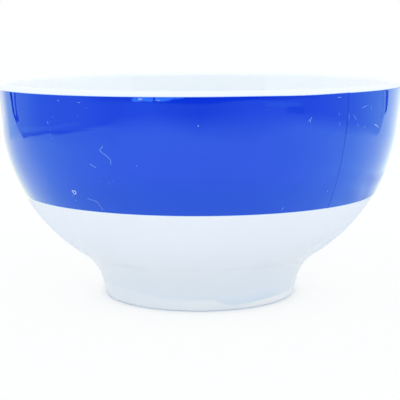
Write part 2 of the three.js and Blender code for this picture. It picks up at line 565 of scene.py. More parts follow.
@dataclass(frozen=True)
class PaintedToeShading:
    """Painted light and shade on the foot's toe, laid over the glaze's own colour.

    Below an uneven line a lighter band paints the bright floor's reflection, above the line a
    darker band paints shade, and a bluish edge at the very bottom paints the contact shade.
    Heights are in millimetres and azimuths in degrees.
    """

    line: Edge = (
        (-180, 3.2), (-50, 4.8), (-40, 5.0), (-33, 4.4), (-20, 3.8), (-4, 3.4), (7, 3.6),
        (12, 2.6), (18, 1.6), (30, 1.8), (36, 2.2), (51, 2.4), (180, 3.2),
    )
    softness: Edge = (
        (-180, 0.7), (-60, 0.9), (-20, 0.9), (0, 0.55), (9, 0.3), (51, 0.3), (180, 0.7),
    )
    # How strongly the painted reflection and the painted shade show, by azimuth.
    reflection_strength: Edge = (
        (-180, 0.3), (-60, 0.05), (-40, 0.15), (-15, 0.26), (0, 0.55), (7, 0.5),
        (13, 0.15), (22, 0.2), (30, 0.7), (37, 1), (51, 1), (180, 0.3),
    )
    shade_strength: Edge = (
        (-180, 0.2), (-60, 0.1), (-40, 0.35), (-15, 0.4), (6, 0.5),
        (18, 0.85), (36, 1), (45, 1), (55, 0.3), (180, 0.2),
    )
    shade_top: float = 6.5
    contact_shade_height: float = 0.5
    # The lighter colour paints the floor's reflection, roll paints shade above the line, and edge
    # paints the contact shade at the very bottom.
    painted_floor_reflection: Colour = paint(0xF7FBFF)
    roll: Colour = paint(0xDEEBF8)
    edge: Colour = paint(0xD6E4F8)

    def tint(self, bench: Bench, height: Socket, glaze: Socket) -> Socket:
        """Lay the toe's painted reflection and painted shade over the glaze's own colour.

        Args:
            bench: Bench of the glaze's material.
            height: Height above the resting face, in metres.
            glaze: Colour of the glaze elsewhere.

        Returns:
            The colour of the glaze with its toe.
        """
        azimuth = Ground(bench).azimuth
        height = bench.maths("DIVIDE", height, MM)
        line = bench.follow(azimuth, self.line)
        softness = bench.follow(azimuth, self.softness)
        steps = bench.maths("DIVIDE", bench.minus(height, line), softness)
        above = bench.remap(steps, -1.0, 1.0)
        painted_floor_reflection = bench.times(bench.minus(1.0, above), bench.follow(azimuth, self.reflection_strength))
        # Share of painted shade above the line, fading out towards its top.
        rolled = bench.times(above, bench.remap(height, line, self.shade_top, 1.0, 0.0))
        rolled = bench.times(rolled, bench.follow(azimuth, self.shade_strength))
        colour = bench.blend(rolled, bench.blend(painted_floor_reflection, glaze, self.painted_floor_reflection), self.roll)
        return bench.blend(bench.remap(height, 0.0, self.contact_shade_height, 1.0, 0.0), colour, self.edge)


@dataclass(frozen=True)
class GlossySkin:
    """The skin of a fired gloss: slow ripples, a finer peel on them, and faint smudges."""

    ripple_size: float
    ripple_height: float
    peel_size: float
    peel_height: float
    smudge_size: float
    roughness: Pair
    smudge_detail: float = 4.0
    smudge_middle: Pair = (0.35, 0.75)

    def sockets(self, bench: Bench, where: Socket) -> Sockets:
        """Lay out the skin's nodes.

        Args:
            bench: Bench of the material.
            where: Place on the piece.

        Returns:
            The shader's sockets for roughness and normal.
        """
        smudge = bench.noise(where, self.smudge_size, self.smudge_detail)
        ripple = bench.bump(bench.noise(where, self.ripple_size), self.ripple_height)
        peel = bench.bump(bench.noise(where, self.peel_size), self.peel_height, ripple)
        roughness = bench.remap(smudge, *self.smudge_middle, *self.roughness)
        return {"Roughness": roughness, "Normal": peel}


@dataclass(frozen=True)
class WhiteGlaze:
    """Clear glossy glaze over white clay, deeper in tint where it pools; on the outside the pool at
    the cove and foot is partly painted shade.
    """

    name: str
    pool_height: float
    pool_spread: float
    thin: Colour = paint(0xEEF5FC)
    pooled: Colour = paint(0xE3EDF8)
    pool_share: float = 0.6
    cloud_size: float = 34.0 * MM
    cloud_detail: float = 3.0
    cloud_share: float = 0.3
    skin: GlossySkin = GlossySkin(
        ripple_size=7.0 * MM,
        ripple_height=0.003 * MM,
        peel_size=0.9 * MM,
        peel_height=0.0003 * MM,
        smudge_size=12.0 * MM,
        roughness=(0.035, 0.085),
    )
    ior: float = 1.52
    # Painted reflection and painted shade at the foot's toe, if any.
    toe: PaintedToeShading | None = None

    def material(self) -> bpy.types.Material:
        """Lay out the glaze's nodes.

        Returns:
            The new material.
        """
        material, bench = new_material(self.name)
        where = bench.place()
        height = bench.axis(where, "Z")
        off_pool = bench.maths("ABSOLUTE", bench.minus(height, self.pool_height))
        pool = bench.remap(off_pool, 0.0, self.pool_spread, self.pool_share, 0.0)
        cloud = bench.cloud(where, self.cloud_size, self.cloud_detail, self.cloud_share)
        colour = bench.blend(bench.maths("MAXIMUM", pool, cloud), self.thin, self.pooled)
        if self.toe:
            # Painted reflection and painted shade at the toe.
            colour = self.toe.tint(bench, height, colour)
        bench.lacquer({"Base Color": colour, "IOR": self.ior, **self.skin.sockets(bench, where)})
        return material


@dataclass(frozen=True)
class BlueTransfer:
    """Glossy cobalt transfer with uneven ink and stray specks."""

    name: str
    ink: Colour = paint(0x0A34DE)
    dense_ink: Colour = paint(0x0830DA)
    speck: Colour = paint(0x5F8CEE)
    mirror_tint: Colour = (0.48, 1.0, 0.9, 1.0)
    cloud_size: float = 26.0 * MM
    cloud_detail: float = 3.0
    cloud_share: float = 0.7
    grain_size: float = 0.35 * MM
    grain_detail: float = 1.0
    grain_share: float = 0.3
    speck_spacing: float = 5.0 * MM
    speck_rarity: float = 0.9
    speck_reach: Pair = (0.025, 0.05)
    skin: GlossySkin = GlossySkin(
        ripple_size=8.0 * MM,
        ripple_height=0.0015 * MM,
        peel_size=0.8 * MM,
        peel_height=0.00008 * MM,
        smudge_size=15.0 * MM,
        roughness=(0.01, 0.03),
    )
    ior: float = 1.7

    def material(self) -> bpy.types.Material:
        """Lay out the transfer's nodes.

        Returns:
            The new material.
        """
        material, bench = new_material(self.name)
        where = bench.place()
        cloud = bench.cloud(where, self.cloud_size, self.cloud_detail, self.cloud_share)
        grain = bench.cloud(where, self.grain_size, self.grain_detail, self.grain_share)
        ink = bench.blend(bench.maths("ADD", cloud, grain), self.ink, self.dense_ink)
        spacing: Sockets = {"Vector": where, "Scale": 1 / self.speck_spacing}
        cells = bench.add("ShaderNodeTexVoronoi", spacing)
        lot = bench.add("ShaderNodeSeparateColor", {"Color": cells.outputs["Color"]}).outputs[0]
        drawn = bench.maths("GREATER_THAN", lot, self.speck_rarity)
        dot = bench.remap(cells.outputs["Distance"], *self.speck_reach, 1.0, 0.0)
        colour = bench.blend(bench.times(drawn, dot), ink, self.speck)
        gloss: Sockets = {"IOR": self.ior, "Specular Tint": self.mirror_tint}
        bench.lacquer({"Base Color": colour, **gloss, **self.skin.sockets(bench, where)})
        return material


@dataclass(frozen=True)
class BareClay:
    """Matt fired porcelain with a fine grain, rubbed grey where it stands."""

    name: str = "bare_clay"
    clay: Colour = paint(0xE9E7E2)
    shade: Colour = paint(0xDFDCD6)
    rubbed: Colour = paint(0xBDBCB9)
    cloud_size: float = 14.0 * MM
    grain_size: float = 0.4 * MM
    grain_height: float = 0.02 * MM
    detail: float = 4.0
    rub_size: float = 3.0 * MM
    rub_detail: float = 3.0
    rub_middle: Pair = (0.45, 0.65)
    rub_share: float = 0.7
    rub_height: float = 0.5 * MM
    roughness: Pair = (0.62, 0.9)

    def material(self) -> bpy.types.Material:
        """Lay out the clay's nodes.

        Returns:
            The new material.
        """
        material, bench = new_material(self.name)
        where = bench.place()
        cloud = bench.cloud(where, self.cloud_size, self.detail, 1.0)
        clay = bench.blend(cloud, self.clay, self.shade)
        low = bench.remap(bench.axis(where, "Z"), 0.0, self.rub_height, 1.0, 0.0)
        patch = bench.noise(where, self.rub_size, self.rub_detail)
        rub = bench.times(low, bench.remap(patch, *self.rub_middle, 0.0, self.rub_share))
        grain = bench.noise(where, self.grain_size, self.detail)
        sockets: Sockets = {
            "Base Color": bench.blend(rub, clay, self.rubbed),
            "Roughness": bench.remap(grain, *bench.noise_middle, *self.roughness),
            "Normal": bench.bump(grain, self.grain_height),
        }
        bench.lacquer(sockets)
        return material


@dataclass(frozen=True)
class WornInk:
    """Transfer rubbed thin, where the white below shows through in a fine grain."""

    name: str
    worn: Colour
    bare: Colour
    grain_size: float = 0.12 * MM
    grain_height: float = 0.004 * MM
    grain_middle: Pair = (0.35, 0.65)
    roughness: Pair = (0.25, 0.5)

    def material(self) -> bpy.types.Material:
        """Lay out the worn ink's nodes.

        Returns:
            The new material.
        """
        material, bench = new_material(self.name)
        grain = bench.noise(bench.place(), self.grain_size)
        sockets: Sockets = {
            "Base Color": bench.blend(bench.remap(grain, *self.grain_middle), self.worn, self.bare),
            "Roughness": bench.remap(grain, *bench.noise_middle, *self.roughness),
            "Normal": bench.bump(grain, self.grain_height),
        }
        bench.lacquer(sockets)
        return material


def hand_over(piece: bpy.types.Object, slot: Slot, *nodes: str) -> None:
    """Let a finished piece ride on the bowl and stand for its CAD nodes.

    Args:
        piece: The finished object.
        slot: Material slot of the record, only named in the log.
        nodes: CAD nodes that the piece stands for.
    """
    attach(piece, BODY)
    if nodes:
        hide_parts(*nodes)
    LOG.info("%s: %d faces, %s", piece.name, len(piece.data.polygons), slot.value)


@dataclass(frozen=True)
class ClayBody:
    """The fired clay: the bowl, and the foot ring luted under it."""

    shape: BowlShape
    wheel: Wheel
    finish: BareClay = BareClay()

    def build(self) -> None:
        """Turn the bowl and its foot ring, and dress both."""
        material = self.finish.material()
        for piece, node in ((self.bowl(), "bowl_body"), (self.foot(), "foot_ring")):
            piece.data.materials.append(material)
            hand_over(piece, Slot.CLAY, node)

    def bowl(self) -> bpy.types.Object:
        """Turn the wall and floor, flat underneath where the ring is luted on.

        Returns:
            The finished object.
        """
        shape = self.shape
        wall = [corner for corner in shape.outside(shape.glaze) if corner.y > shape.joint_height]
        underside = [Vector((0.0, shape.joint_height)), Vector((wall[0].x, shape.joint_height))]
        return self.wheel.turn("bowl_clay", [*underside, *wall, *shape.inside(shape.glaze)[1:]])

    def foot(self) -> bpy.types.Object:
        """Turn the foot ring, with a bare flat face between two softened edges.

        Returns:
            The finished object.
        """
        shape = self.shape
        outer_edge = shape.foot_edge(shape.glaze, -QUARTER_TURN, -shape.glaze_wrap)[:-1]
        side = [corner for corner in shape.outside(shape.glaze) if corner.y < shape.joint_height]
        softening = shape.recess_edge
        inner_centre = Vector((shape.recess_side(softening, shape.glaze).x + softening, softening))
        inner_edge = arc(inner_centre, softening, math.pi, 3 * QUARTER_TURN, shape.edge_step)
        outline = [
            *outer_edge,
            *side,
            Vector((side[-1].x, shape.joint_height)),
            shape.recess_side(shape.joint_height, shape.glaze),
            *inner_edge,
        ]
        return self.wheel.turn("foot_clay", [*outline, outline[0]])


@dataclass(frozen=True)
class GlazeCoats:
    """The three coats of glaze: outside, inside, and in the recess of the foot."""

    shape: BowlShape
    wheel: Wheel
    # The outside's pool at the cove and foot is partly glaze pooling and partly painted shade; its
    # toe carries painted reflection and painted shade.
    outer_finish: WhiteGlaze = WhiteGlaze(
        "outer_glaze_white", pool_height=6.0 * MM, pool_spread=7.0 * MM, toe=PaintedToeShading()
    )
    # A lighter copy of the white glaze inside: painted light for the brighter light in the bowl.
    inner_lit_finish: WhiteGlaze = WhiteGlaze(
        "inner_glaze_lit_white",
        pool_height=11.0 * MM,
        pool_spread=6.0 * MM,
        thin=paint(0xF7FCFF),
        pooled=paint(0xE4EFFB),
    )
    base_finish: WhiteGlaze = WhiteGlaze(
        "base_glaze_white", pool_height=5.5 * MM, pool_spread=2.0 * MM
    )

    def build(self) -> None:
        """Turn the three coats and dress them."""
        coats = (
            (self.outer(), self.outer_finish, "outer_glaze"),
            (self.inner(), self.inner_lit_finish, "inner_glaze"),
            (self.base(), self.base_finish, "base_glaze"),
        )
        for piece, finish, node in coats:
            piece.data.materials.append(finish.material())
            hand_over(piece, Slot.WHITE_GLAZE, node)

    def outer(self) -> bpy.types.Object:
        """Turn the outside coat, with a rolled end under the foot's edge.

        Returns:
            The finished object.
        """
        shape = self.shape
        face = shape.outside(0.0)
        back = shape.outside(shape.glaze)
        roll_centre = face[0].lerp(back[0], 0.5)
        first = -math.pi - shape.glaze_wrap
        roll = arc(roll_centre, shape.glaze / 2, first, -shape.glaze_wrap, shape.edge_step)
        outline = [*roll[:-1], *face, *reversed(back[1:])]
        return self.wheel.turn("outer_glaze_coat", [*outline, outline[0]])

    def inner(self) -> bpy.types.Object:
        """Turn the inside coat, from the crown of the lip to the floor.

        Returns:
            The finished object.
        """
        shape = self.shape
        back = list(reversed(shape.inside(shape.glaze)))
        return self.wheel.turn("inner_glaze_coat", [*back, *shape.inside(0.0)])

    def base(self) -> bpy.types.Object:
        """Turn the coat in the recess, pooled to a fillet in its corner.

        Returns:
            The finished object.
        """
        shape = self.shape
        fillet = shape.recess_fillet
        rise = shape.recess_depth - fillet
        centre = shape.recess_side(rise, -fillet)
        pooled = arc(centre, fillet, QUARTER_TURN, shape.recess_draft, shape.edge_step)
        end_centre = shape.recess_side(shape.bare_recess, shape.glaze / 2)
        first = math.pi + shape.recess_draft
        end = arc(end_centre, shape.glaze / 2, first, first + math.pi, shape.edge_step)
        outline = [
            Vector((0.0, shape.recess_depth)),
            *pooled,
            *end,
            shape.recess_side(shape.joint_height, shape.glaze),
            Vector((0.0, shape.joint_height)),
        ]
        return self.wheel.turn("base_glaze_coat", outline)


class Ink(Enum):
    """Inks of the band, numbered as its materials are."""

    PLAIN = 0
    EDGE = 1
    LAPPED = 2
    FEATHERED = 3
    DULLED = 4


@dataclass(frozen=True)
class BlueBand:
    """The strip of blue transfer round the wall, with its end lapped over its start."""

    shape: BowlShape
    wheel: Wheel
    below_crown: float = 1.3 * MM
    height: float = 31.4 * MM
    film: float = 0.06 * MM
    sunk: float = 0.02 * MM
    feather: float = 0.1 * MM
    edge_ink: float = 0.35 * MM
    seam: float = math.radians(40.4)
    seam_bends: Edge = (
        (-0.5, 0.1), (-0.35, 0.4), (-0.2, 0.6), (-0.1, 0.45),
        (0.0, 0.28), (0.12, 0.2), (0.3, 0.33), (0.5, 0.55),
    )
    lap: float = 0.2 * MM
    lap_steps: int = 2
    lead: float = 0.05 * MM
    rise: float = 0.15 * MM
    rise_steps: int = 3
    rise_films: float = 1.4
    dulled: Pair = (53.8 * MM, 61.0 * MM)
    low_lift: float = 0.06 * MM
    low_tilt: float = -0.13 * MM
    high_tilt: float = 0.13 * MM
    drop: float = 0.09 * MM
    climb: float = 0.07 * MM
    dip: float = 0.15 * MM
    dip_before_seam: float = math.radians(13.4)
    dip_spread: float = math.radians(9.0)
    finishes: tuple[BlueTransfer, ...] = (
        BlueTransfer("blue_transfer"),
        BlueTransfer("blue_transfer_edge", paint(0x0426DA), paint(0x0424D4)),
        BlueTransfer("blue_transfer_lapped", paint(0x0A30D2), paint(0x082CC8)),
        BlueTransfer("blue_transfer_feathered", paint(0x3F86F6), paint(0x3A80F2)),
        BlueTransfer("blue_transfer_dulled", paint(0x0A30D2), paint(0x082CC8), ior=1.45),
    )

    def build(self) -> None:
        """Wrap the strip round the wall, lap its end, and dress it."""
        piece = self.wrap()
        bpy.ops.object.mode_set(mode="OBJECT")
        for finish in self.finishes:
            piece.data.materials.append(finish.material())
        self.dress_edges(piece)
        self.settle(piece)
        bpy.ops.object.mode_set(mode="EDIT")
        self.lap_over(piece)
        self.lean(piece)
        self.dress_lap(piece)
        hand_over(piece, Slot.BLUE_TRANSFER, "blue_band")

    @property
    def top(self) -> float:
        """Height of the band's upper edge."""
        return self.shape.height - self.below_crown

    @property
    def bottom(self) -> float:
        """Height of the band's lower edge."""
        return self.top - self.height

    @property
    def middle_radius(self) -> float:
        """Radius of the wall halfway up the band."""
        return self.shape.outside_radius(self.top - self.height / 2)

    def stretch(self, depth: float, inset: float) -> Outline:
        """Give the part of the outside that the strip covers.

        Args:
            depth: Depth below the finished face; below zero, it stands proud.
            inset: How far the strip stops short of each edge.

        Returns:
            Corners from the lower edge to the upper one.
        """
        low = self.bottom + inset
        high = self.top - inset
        full = self.shape.outside(depth)
        corners = [corner for corner in full if low < corner.y < high]
        for rise in (0.0, self.feather, self.edge_ink):
            corners += [at_height(full, low + rise), at_height(full, high - rise)]
        return sorted(corners, key=lambda corner: corner.y)

    def wrap(self) -> bpy.types.Object:
        """Spin the strip's section round the wall, short of a full turn by the rise of the lap.

        Returns:
            The open strip, in edit mode, with its end section selected.
        """
        face = self.stretch(-self.film, self.film)
        section = [*face, *reversed(self.stretch(self.sunk, 0.0))]
        piece = self.wheel.draw("blue_band_strip", [*section, section[0]], self.seam)
        bpy.ops.mesh.remove_doubles(threshold=self.wheel.weld)
        self.wheel.spin(FULL_TURN - (self.lead + self.rise) / self.middle_radius, self.wheel.steps)
        return piece

    def azimuth(self, place: Vector) -> float:
        """Give a place's azimuth past the seam, from zero to a full turn."""
        return (math.atan2(place.x, -place.y) - self.seam) % FULL_TURN

    def dress_edges(self, piece: bpy.types.Object) -> None:
        """Give both edges the dense ink of a printed edge, feathered at the very end.

        Args:
            piece: The strip.
        """
        for face in piece.data.polygons:
            inset = min(face.center.z - self.bottom, self.top - face.center.z) - self.film
            if inset < self.feather:
                face.material_index = Ink.FEATHERED.value
            elif inset < self.edge_ink:
                face.material_index = Ink.EDGE.value

    def lift(self, run: float, share: float) -> float:
        """Give how far the strip was laid above its nominal place.

        Args:
            run: Azimuth past the seam.
            share: Height in the strip, from 0 at its lower edge to 1 at its upper edge.

        Returns:
            The lift; below zero, the strip sits lower.
        """
        sideways = math.sin(self.seam + run)
        low = self.low_lift + self.low_tilt * sideways
        off_dip = (run - FULL_TURN + self.dip_before_seam) / self.dip_spread
        high = self.high_tilt * sideways + self.climb * run / FULL_TURN
        high -= self.drop + self.dip * math.exp(-(off_dip**2))
        return low + (high - low) * share

    def settle(self, piece: bpy.types.Object) -> None:
        """Let the strip's edges wander a little, as a hand lays it.

        Args:
            piece: The open strip.
        """
        shape = self.shape
        for vertex in piece.data.vertices:
            run = self.azimuth(vertex.co)
            if run > FULL_TURN - self.rise / self.middle_radius / 2:
                run = 0.0
            low = vertex.co.z
            lift = self.lift(run, (low - self.bottom) / self.height)
            growth = shape.outside_radius(low + lift) - shape.outside_radius(low)
            outward = Vector((vertex.co.x, vertex.co.y, 0.0)).normalized()
            vertex.co += outward * growth + UP * lift

    def lap_over(self, piece: bpy.types.Object) -> None:
        """Raise the strip's end over its start and close both ends.

        Args:
            piece: The open strip, in edit mode, with its end section selected.
        """
        radius = self.middle_radius
        growth = 1 + (self.film * self.rise_films) / radius / self.rise_steps
        self.extend(self.lead / radius)
        for _ in range(self.rise_steps):
            self.extend(self.rise / radius / self.rise_steps, growth)
        for _ in range(self.lap_steps):
            self.extend(self.lap / radius / self.lap_steps)
        bpy.ops.mesh.select_all(action="DESELECT")
        bpy.ops.mesh.select_non_manifold()
        bpy.ops.mesh.fill_holes(sides=0)
        self.wheel.close(piece)

    def extend(self, angle: float, growth: float = 1.0) -> None:
        """Extrude the selected end section.

        Args:
            angle: How far the section turns about the axis.
            growth: How much the section grows away from the axis.
        """
        bpy.ops.mesh.extrude_region_move(TRANSFORM_OT_translate={"value": ORIGIN})
        bpy.ops.transform.rotate(value=-angle, orient_axis="Z", center_override=ORIGIN)
        bpy.ops.transform.resize(value=(growth, growth, 1.0), center_override=ORIGIN)

    def wander(self, height: float) -> float:
        """Give how far the hand-laid seam strays from its azimuth.

        Args:
            height: Height on the seam.

        Returns:
            The angle.
        """
        share = (self.top - height) / self.height - 0.5
        bends = self.seam_bends
        share = min(max(share, bends[0][0]), bends[-1][0])
        for (low, first), (high, last) in itertools.pairwise(bends):
            if share <= high:
                break
        return math.radians(first + (last - first) * (share - low) / (high - low))

    def lean(self, piece: bpy.types.Object) -> None:
        """Bend the seam by twisting the strip about the axis as it goes down."""
        for vertex in piece.data.vertices:
            vertex.co.rotate(Matrix.Rotation(self.wander(vertex.co.z), 3, "Z"))

    def dress_lap(self, piece: bpy.types.Object) -> None:
        """Give the lapped stretch the ink of two layers, dulled over part of its height.

        Args:
            piece: The closed strip.
        """
        lap = self.lap / self.middle_radius
        low, high = self.dulled
        for face in piece.data.polygons:
            place = face.center
            if (self.azimuth(place) - self.wander(place.z)) % FULL_TURN < lap:
                ink = Ink.DULLED if low < place.z < high else Ink.LAPPED
                face.material_index = ink.value


@dataclass(frozen=True)
class Wear:
    """Marks of one kind on the band. Widths and heights are in millimetres, azimuths in degrees.

    Attributes:
        name: Name of the piece that the marks make.
        finish: Finish of the marks.
        lines: Width of each line, and its path in azimuth and height.
        specks: Width, azimuth and height of each speck.
    """

    name: str
    finish: WornInk
    lines: tuple[tuple[float, Edge], ...]
    specks: tuple[tuple[float, float, float], ...]


SCRATCHES = Wear(
    name="band_scratch_marks",
    finish=WornInk("worn_ink", worn=paint(0x6E9CEE), bare=paint(0x8CB4F4)),
    lines=(
        (0.17, ((-24.8, 49.8), (-25.8, 48.7), (-25.3, 48.1), (-24.2, 47.4), (-23.2, 46.4),
                (-23.0, 45.7), (-23.1, 45.0))),
        (0.15, ((-32.9, 35.3), (-31.6, 34.9), (-30.1, 34.6), (-29.5, 34.0), (-29.2, 33.4),
                (-28.9, 32.7), (-28.6, 32.0))),
        (0.15, ((-29.3, 45.0), (-28.6, 44.5), (-27.5, 43.9))),
        (0.16, ((29.1, 56.9), (28.7, 56.3), (28.7, 55.4))),
        (0.14, ((28.7, 56.3), (27.9, 55.8))),
        (0.18, ((46.1, 58.3), (49.1, 59.0))),
        (0.15, ((43.2, 56.8), (44.7, 55.2))),
        (0.15, ((36.6, 61.6), (38.1, 61.6))),
        (0.14, ((38.2, 55.1), (38.4, 54.2))),
        (0.15, ((48.5, 53.5), (48.7, 52.7))),
        (0.12, ((50.5, 58.8), (50.8, 57.7))),
        (0.12, ((37.7, 57.6), (37.8, 56.9))),
        (0.12, ((41.3, 57.3), (41.6, 55.3))),
        (0.10, ((45.2, 54.2), (45.8, 53.3))),
        (0.14, ((24.2, 33.1), (24.1, 32.6), (23.7, 32.2))),
        (0.16, ((-42.5, 55.4), (-41.9, 54.6))),
        (0.13, ((-16.2, 44.8), (-15.8, 45.2))),
        (0.14, ((-31.3, 60.8), (-30.4, 60.9))),
    ),
    specks=(
        (0.20, 42.0, 51.2), (0.16, 50.9, 57.1), (0.30, -38.1, 35.55), (0.36, -37.4, 34.3),
        (0.22, -31.7, 57.1), (0.20, -28.8, 59.5), (0.30, -41.9, 51.9), (0.24, -41.3, 50.9),
        (0.24, -41.5, 53.0), (0.22, -40.1, 53.2), (0.24, -41.2, 55.4), (0.24, -40.0, 56.6),
        (0.24, -44.1, 56.6), (0.22, -42.3, 58.8), (0.20, -23.3, 40.6), (0.20, -24.5, 39.8),
        (0.20, -27.6, 40.4), (0.20, 16.9, 59.1), (0.20, -16.2, 56.0),
    ),
)
# Chips show the white glaze through the ink; the specks among them are raised, and their pale
# colour also paints glints.
CHIPS_AND_GLINTS = Wear(
    name="band_chip_and_glint_marks",
    finish=WornInk("chipped_ink_and_glints", worn=paint(0xB4D0F4), bare=paint(0xDEECFA)),
    lines=(
        (0.27, ((-37.9, 36.95), (-36.6, 37.0), (-36.35, 36.55), (-37.0, 36.05), (-37.4, 36.5),
                (-37.7, 36.8))),
        (0.18, ((53.5, 53.5), (55.3, 52.9), (55.9, 52.4))),
    ),
    specks=((0.34, -37.5, 61.1), (0.34, -0.2, 55.4), (0.24, 38.2, 36.5)),
)


@dataclass(frozen=True)
class BandWear:
    """Fine scratches, lint and specks that use has left on the blue band; the pale specks of the
    chips are partly painted glints.
    """

    band: BlueBand
    kinds: tuple[Wear, ...] = (SCRATCHES, CHIPS_AND_GLINTS)
    sunk: float = 0.25
    bends: int = 4
    taper: float = 0.55
    speck_reach: float = 0.4
    bevel_steps: int = 1

    def build(self) -> None:
        """Raise every mark, join those of a kind, and dress them."""
        for wear in self.kinds:
            pieces = [
                self.raise_mark(width * MM, self.line(width, path)) for width, path in wear.lines
            ]
            pieces += [self.raise_mark(speck[0] * MM, self.speck(*speck)) for speck in wear.specks]
            bpy.ops.object.select_all(action="DESELECT")
            for piece in pieces:
                piece.select_set(True)
            bpy.context.view_layer.objects.active = pieces[0]
            bpy.ops.object.join()
            joined = bpy.context.object
            joined.name = wear.name
            joined.data.materials.append(wear.finish.material())
            hand_over(joined, Slot.BLUE_TRANSFER)

    def place(self, width: float, azimuth: float, height: float) -> Vector:
        """Give the middle of a mark of a width on the band, sunk by a share of the width.

        Args:
            width: Width of the mark in millimetres.
            azimuth: Azimuth in degrees.
            height: Height in millimetres.

        Returns:
            The place, in metres.
        """
        face = self.band.shape.outside_radius(height * MM) + self.band.film
        radius = face - width * MM * self.sunk
        angle = math.radians(azimuth)
        return Vector((radius * math.sin(angle), -radius * math.cos(angle), height * MM))

    def speck(self, width: float, azimuth: float, height: float) -> list[Vector]:
        """Give the short upright line of corners of a speck."""
        place, reach = self.place(width, azimuth, height), UP * width * MM * self.speck_reach
        return [place - reach, place, place + reach]

    def line(self, width: float, path: Edge) -> list[Vector]:
        """Give the smooth line of corners that a mark follows.

        Args:
            width: Width of the mark in millimetres.
            path: Azimuth in degrees and height in millimetres of each place on it.

        Returns:
            The corners, in metres.
        """
        places = [self.place(width, azimuth, height) for azimuth, height in path]
        ends = [places[0] * 2 - places[1], *places, places[-1] * 2 - places[-2]]
        line = []
        for before, here, there, after in zip(ends, ends[1:], ends[2:], ends[3:]):
            for i in range(self.bends):
                t = i / self.bends
                bend = (there - before) * t + (before * 2 - here * 5 + there * 4 - after) * t * t
                bend += (here * 3 - before - there * 3 + after) * t**3
                line.append(here + bend / 2)
        return [*line, places[-1]]

    def raise_mark(self, width: float, corners: list[Vector]) -> bpy.types.Object:
        """Draw a mark's line and round it out, with tapered ends.

        Args:
            width: Width of the mark.
            corners: Corners of its line.

        Returns:
            The mark as a mesh.
        """
        draw_line("band_mark", corners)
        bpy.ops.object.mode_set(mode="OBJECT")
        bpy.ops.object.convert(target="CURVE")
        curve = bpy.context.object.data
        curve.dimensions = "3D"
        curve.bevel_depth = width / 2
        curve.bevel_resolution = self.bevel_steps
        curve.use_fill_caps = True
        points = curve.splines[0].points
        for point in (points[0], points[-1]):
            point.radius = self.taper
        bpy.ops.object.convert(target="MESH")
        bpy.ops.object.shade_smooth_by_angle(angle=self.band.wheel.smooth_angle)
        return bpy.context.object


Shade = Callable[[Ground], Any]


class Measure(Enum):
    """What a fade over the ground follows, named as Ground names it."""

    X = "x"
    Y = "y"
    FAR = "far"
    AZIMUTH = "azimuth"
    AHEAD = "ahead"


class Level(Enum):
    """Heights of the cards above the floor in millimetres, so that none lies in another."""

    WALL = 0.0
    TOE = 0.02
    SHADE = 0.04
    GROUND = 0.08
    FRINGE = 0.1
    ROOM = 0.12
    LINE = 0.16
    PATCH = 0.2
    PANE = 0.24
    LAMP = 0.28


@dataclass(frozen=True)
class Fade:
    """A smooth change along one measure of the ground, from one limit to the other."""

    along: Measure
    start: float
    stop: float
    first: float = 0.0
    last: float = 1.0

    def __call__(self, ground: Ground) -> Socket:
        """Give the change over the ground."""
        value = getattr(ground, self.along.value)
        return ground.bench.remap(value, self.start, self.stop, self.first, self.last)


def even(value: Any) -> Shade:
    """Give a shade that is the same all over a card."""
    return lambda ground: value


def both(first: Shade, second: Shade) -> Shade:
    """Give the product of two shades."""
    return lambda ground: ground.bench.times(first(ground), second(ground))


@dataclass(frozen=True)
class Card:
    """A flat card on the ground that only reflections show, as in a studio for shiny ware.

    The edge is in millimetres.
    """

    name: str
    level: Level
    edge: Edge
    light: Shade
    cover: Shade = even(1.0)

    def lay(self) -> bpy.types.Object:
        """Draw the card along its edge, and dress it.

        Returns:
            The card.
        """
        corners = [Vector((x, y, self.level.value)) * MM for x, y in self.edge]
        card = draw_line(self.name, corners)
        bpy.ops.mesh.edge_face_add()
        bpy.ops.object.mode_set(mode="OBJECT")
        material, bench = new_material(self.name)
        ground = Ground(bench)
        clear = bench.add("ShaderNodeBsdfTransparent")
        bench.glow_over(clear, self.light(ground), self.cover(ground))
        card.data.materials.append(material)
        card.visible_camera = False
        card.visible_diffuse = False
        card.visible_shadow = False
        card.visible_transmission = False
        return card


@dataclass(frozen=True)
class WhiteFloor:
    """A white floor that keeps a soft shadow, with painted bluish shade where the foot meets it."""

    size: float = 24.0
    drop: float = 0.02 * MM
    colour: Colour = paint(0xF7F8F8)
    light: Colour = (0.99, 1.0, 1.0, 1.0)
    # Painted shade: near the foot the paper is darker and bluer and its glow bluer, to tint the
    # contact shadow.
    contact_shade: Fade = Fade(Measure.FAR, 28.0, 29.4, 1.0, 0.0)
    contact_shade_colour: Colour = (0.82, 0.9, 0.98, 1.0)
    contact_shade_glow: Colour = (0.92, 1.02, 1.18, 1.0)
    glow: Edge = ((28.5, 0.42), (29.5, 0.57), (31, 0.72), (35, 0.84), (42, 0.88), (60, 0.92))
    mirrored_glow: float = 0.4

    def lay(self) -> None:
        """Lay the floor and dress it."""
        bpy.ops.object.select_all(action="DESELECT")
        bpy.ops.mesh.primitive_plane_add(size=self.size)
        floor = bpy.context.object
        floor.data.transform(Matrix.Translation(UP * -self.drop))
        floor.name = "white_floor"
        material, bench = new_material("white_floor")
        path = bench.add("ShaderNodeLightPath").outputs
        ground = Ground(bench)
        straight = bench.times(path["Is Camera Ray"], bench.follow(ground.far, self.glow))
        mirrored = bench.maths("MAXIMUM", path["Is Glossy Ray"], path["Is Transmission Ray"])
        share = bench.maths("MAXIMUM", straight, bench.times(mirrored, self.mirrored_glow))
        # Share of the painted contact shade, near the foot.
        close = self.contact_shade(ground)
        colour = bench.blend(close, self.colour, self.contact_shade_colour)
        paper = bench.add("ShaderNodeBsdfDiffuse", {"Color": colour})
        bench.glow_over(paper, bench.blend(close, self.light, self.contact_shade_glow), share)
        floor.data.materials.append(material)


